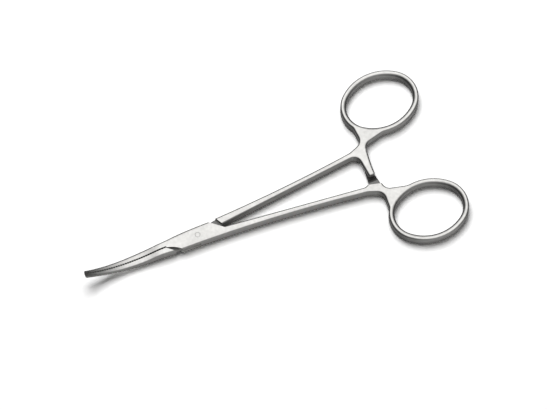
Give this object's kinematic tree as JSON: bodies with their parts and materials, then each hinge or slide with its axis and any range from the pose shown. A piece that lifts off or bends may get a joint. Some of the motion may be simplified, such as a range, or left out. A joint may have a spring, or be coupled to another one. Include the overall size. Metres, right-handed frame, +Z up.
{
  "type": "hemostat forceps",
  "caption": "Slim curved hemostat forceps with a box lock, oval finger rings, a toothed ratchet on crossing arms and serrated jaws, stored closed and lying flat.",
  "frame": {"origin": "on the axis of the box lock, at the flat underside that the part rests on", "axes": "+X along the closed instrument towards the finger rings, jaws towards -X, +Z up along the hinge axis"},
  "size_m": [0.1417, 0.0702, 0.0101],
  "materials": {
    "steel": "satin",
    "pin_steel": "satin"
  },
  "bodies": {
    "box_side": {"box_half": "steel", "box_lock_pin": "pin_steel"},
    "through_side": {"through_half": "steel"}
  },
  "joints": [
    {"name": "box_lock_hinge", "type": "hinge", "parent": "box_side", "child": "through_side", "pos_m": [0, 0, 0], "axis": [0, 0, 1], "range_deg": [0, 60]}
  ]
}
